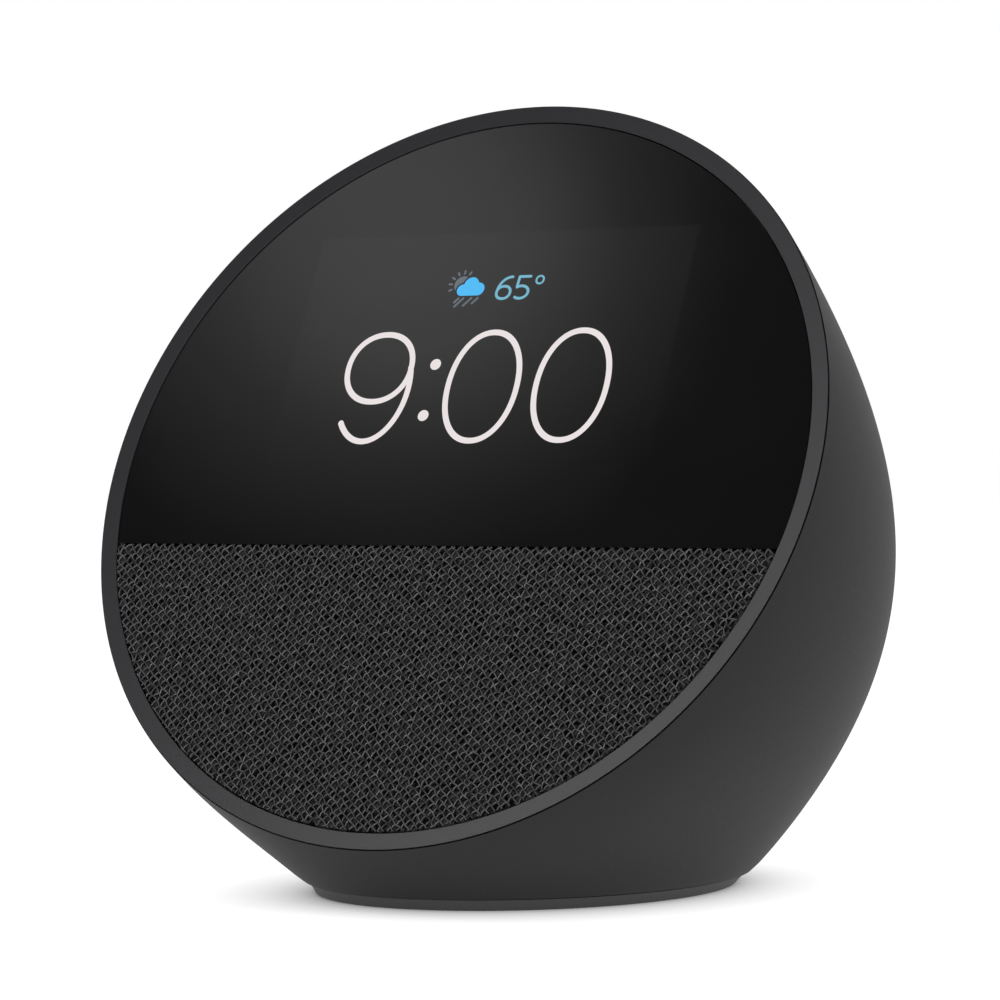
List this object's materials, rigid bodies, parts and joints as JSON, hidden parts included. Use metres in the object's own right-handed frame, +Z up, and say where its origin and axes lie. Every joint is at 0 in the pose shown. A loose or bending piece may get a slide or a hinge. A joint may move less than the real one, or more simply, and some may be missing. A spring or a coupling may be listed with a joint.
{
  "type": "smart display",
  "caption": "Round bedside smart display: leaning round face with a glass screen above a cloth speaker grille, in a tapered housing with top push buttons.",
  "frame": {"origin": "on the floor, at the centre of the footprint box of the whole object", "axes": "+X to the right seen from the front, +Y to the back, +Z up"},
  "size_m": [0.113, 0.103, 0.111],
  "materials": {
    "housing": "fine matte moulded charcoal plastic",
    "bezel": "fine matte moulded charcoal plastic",
    "button_plastic": "fine matte moulded charcoal plastic",
    "cover_glass": "polished glass printed black behind",
    "speaker_cloth": "charcoal knitted mesh",
    "black_plastic": "black moulded plastic",
    "screen": "dark liquid crystal panel",
    "diffuser": "white diffuser film",
    "steel": "zinc plated",
    "screw_steel": "zinc plated",
    "aluminium": "satin sheet",
    "copper": "enamelled copper wire",
    "brass": "plated contact",
    "ferrite": "sintered ferrite",
    "cone_paper": "coated paper",
    "spider_cloth": "resin stiffened cloth",
    "black_rubber": "soft black rubber",
    "foot_rubber": "dark grey non-slip rubber",
    "foam": "closed cell foam",
    "circuit_board": "green solder mask on glass laminate",
    "flex_circuit": "amber polyimide film",
    "chip": "moulded chip package",
    "button_stem": "grey moulded plastic"
  },
  "bodies": {
    "case": {"housing": "housing", "bezel_ring": "bezel", "cover_glass": "cover_glass", "speaker_fabric": "speaker_cloth", "grille_plate": "black_plastic", "front_chassis": "black_plastic", "lcd_panel": "screen", "backlight": "diffuser", "display_tray": "steel", "display_flex": "flex_circuit", "speaker_gasket": "foam", "speaker_basket": "black_plastic", "speaker_surround": "black_rubber", "speaker_spider": "spider_cloth", "top_plate": "steel", "speaker_magnet": "ferrite", "speaker_yoke": "steel", "speaker_lead": "black_rubber", "main_board": "circuit_board", "processor": "chip", "shield_can": "aluminium", "heat_spreader": "aluminium", "button_board": "circuit_board", "button_flex": "flex_circuit", "dc_jack": "black_plastic", "jack_pin": "brass", "inlet_board": "circuit_board", "power_lead": "black_rubber", "base_plate": "black_plastic", "foot_ring": "foot_rubber", "ballast_plate": "steel", "left_microphone": "aluminium", "right_microphone": "aluminium", "left_mic_gasket": "black_rubber", "right_mic_gasket": "black_rubber", "chassis_screw_1": "screw_steel", "chassis_screw_2": "screw_steel", "chassis_screw_3": "screw_steel", "chassis_screw_4": "screw_steel", "speaker_screw_1": "screw_steel", "board_screw_1": "screw_steel", "button_board_screw_1": "screw_steel", "speaker_screw_2": "screw_steel", "board_screw_2": "screw_steel", "button_board_screw_2": "screw_steel", "base_screw_1": "screw_steel", "base_screw_2": "screw_steel", "base_screw_3": "screw_steel", "volume_down_switch": "black_plastic", "mic_mute_switch": "black_plastic", "volume_up_switch": "black_plastic"},
    "volume_down": {"volume_down_button": "button_plastic", "volume_down_plunger": "button_stem"},
    "mic_mute": {"mic_mute_button": "button_plastic", "mic_mute_plunger": "button_stem"},
    "volume_up": {"volume_up_button": "button_plastic", "volume_up_plunger": "button_stem"},
    "cone": {"speaker_cone": "cone_paper", "dust_cap": "cone_paper", "voice_coil": "copper"}
  },
  "joints": [
    {"name": "volume_down_press", "type": "slide", "parent": "case", "child": "volume_down", "axis": [0, -0.6055, -0.7958], "range_m": [0, 0.0005], "stiffness_N_per_m": 3000},
    {"name": "mic_mute_press", "type": "slide", "parent": "case", "child": "mic_mute", "axis": [0, -0.6055, -0.7958], "range_m": [0, 0.0005], "stiffness_N_per_m": 3000},
    {"name": "volume_up_press", "type": "slide", "parent": "case", "child": "volume_up", "axis": [0, -0.6055, -0.7958], "range_m": [0, 0.0005], "stiffness_N_per_m": 3000},
    {"name": "cone_stroke", "type": "slide", "parent": "case", "child": "cone", "axis": [0, -0.9063, 0.4226], "range_m": [-0.0015, 0.0015], "stiffness_N_per_m": 2500, "deforming": ["speaker_surround", "speaker_spider"]}
  ]
}
